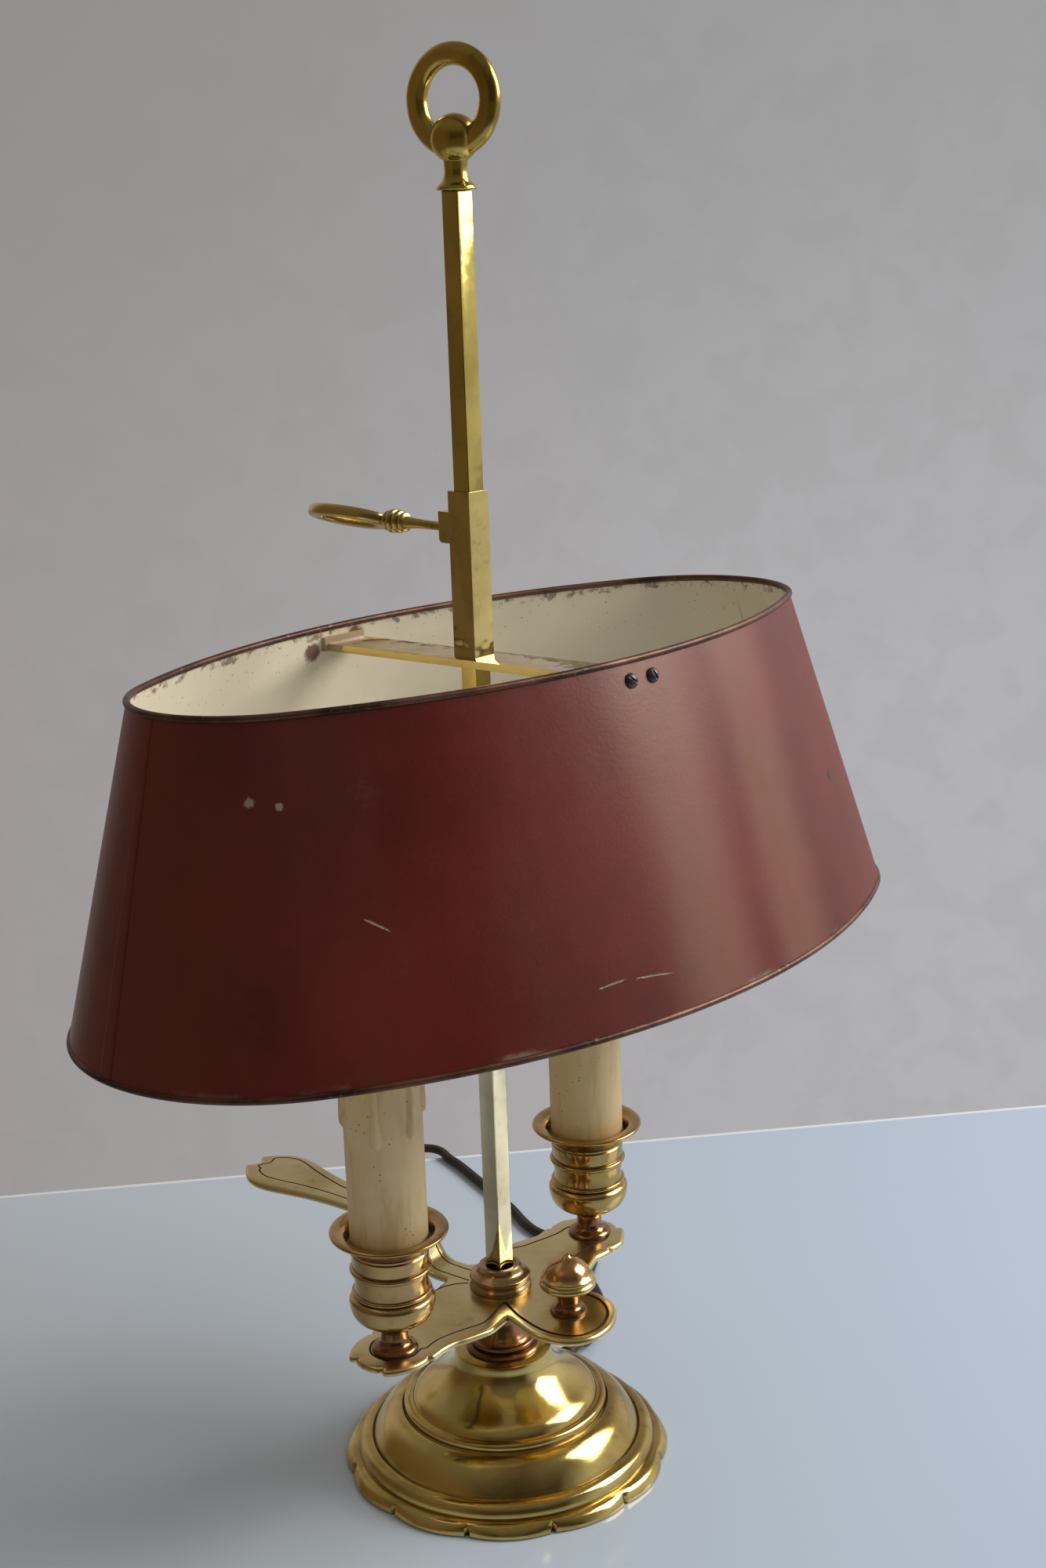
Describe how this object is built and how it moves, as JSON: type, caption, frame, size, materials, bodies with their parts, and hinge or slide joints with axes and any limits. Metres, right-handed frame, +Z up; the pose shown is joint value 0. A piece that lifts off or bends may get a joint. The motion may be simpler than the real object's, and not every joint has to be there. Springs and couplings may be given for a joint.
{
  "type": "bouillotte lamp",
  "caption": "Brass candle-arm table lamp with a scalloped foot, square rod and ring finial, and an oval painted sheet-metal shade that slides on the rod and is held by a thumb key",
  "frame": {"origin": "centre of the foot on the table, on the rod's axis", "axes": "+Z up along the rod; the rod's faces lie along X and Y; the candle arms reach to -X and +X, the acorn finial to -Y, the handle and the thumb key to +Y"},
  "size_m": [0.4798, 0.5416, 0.5608],
  "materials": {
    "foot_brass": "polished, mellowed",
    "weight_iron": "rough",
    "felt_green": "felt",
    "fixing_steel": "plain",
    "bushing_black": "moulded",
    "collar_bronze": "dark coppery patina",
    "plate_brass": "satin, engraved edge",
    "rod_brass": "polished",
    "finial_brass": "polished",
    "acorn_brass": "polished",
    "cup_bronze": "polished, pinkish patina",
    "ivory_sleeve": "ivory, with wax drips",
    "socket_bakelite": "moulded",
    "cap_metal": "threaded",
    "lamp_glass": "clear",
    "lead_cover": "matt",
    "shade_paint": "oxblood red outside, cream inside, satin",
    "rim_copper": "worn copper brown",
    "carrier_brass": "polished",
    "key_brass": "polished",
    "screw_steel": "darkened",
    "cord_rubber": "dark brown",
    "switch_brown": "moulded",
    "rocker_ivory": "moulded",
    "plug_black": "moulded",
    "pin_nickel": "plated"
  },
  "bodies": {
    "base": {"foot": "foot_brass", "foot_weight": "weight_iron", "foot_felt": "felt_green", "base_washer": "fixing_steel", "base_nut": "fixing_steel", "cord_bushing": "bushing_black", "lower_collar": "collar_bronze", "arm_plate": "plate_brass", "stem_collar": "collar_bronze", "stem_rod": "rod_brass", "finial": "finial_brass", "finial_ring": "finial_brass", "acorn": "acorn_brass", "acorn_nut": "fixing_steel", "cup_left": "cup_bronze", "cup_right": "cup_bronze", "nipple_left": "fixing_steel", "nipple_right": "fixing_steel", "cup_nut_left": "fixing_steel", "cup_nut_right": "fixing_steel", "candle_left": "ivory_sleeve", "candle_right": "ivory_sleeve", "socket_left": "socket_bakelite", "socket_right": "socket_bakelite", "bulb_cap_left": "cap_metal", "bulb_cap_right": "cap_metal", "bulb_glass_left": "lamp_glass", "bulb_glass_right": "lamp_glass", "lead_left": "lead_cover", "lead_right": "lead_cover", "cord": "cord_rubber", "cord_tail": "cord_rubber", "cord_coil": "cord_rubber", "switch_body": "switch_brown", "plug_body": "plug_black", "plug_pins": "pin_nickel"},
    "shade": {"shade_front": "shade_paint", "shade_back": "shade_paint", "seam_left": "shade_paint", "seam_right": "shade_paint", "rim_top": "rim_copper", "rim_bottom": "rim_copper", "carrier": "carrier_brass", "screws_front": "screw_steel", "screws_back": "screw_steel"},
    "clamp_pad": {"pressure_pad": "fixing_steel"},
    "thumb_key": {"key": "key_brass"},
    "rocker": {"switch_rocker": "rocker_ivory"}
  },
  "joints": [
    {"name": "shade_slide", "type": "slide", "parent": "base", "child": "shade", "axis": [0, 0, 1], "range_m": [-0.09, 0.1]},
    {"name": "pad_slide", "type": "slide", "parent": "shade", "child": "clamp_pad", "axis": [0, 1, 0], "range_m": [0, 0.0014]},
    {"name": "key_turn", "type": "hinge", "parent": "clamp_pad", "child": "thumb_key", "pos_m": [0, 0.03, 0.3874], "axis": [0, 1, 0], "range_deg": [0, 720]},
    {"name": "switch_rock", "type": "hinge", "parent": "base", "child": "rocker", "pos_m": [0.21, 0.304, 0.017], "axis": [-0.5878, 0.809, 0], "range_deg": [-8, 8]}
  ],
  "couplings": [
    {"joint": "pad_slide", "follows": "key_turn", "m_per_rad": 0.00011141}
  ]
}
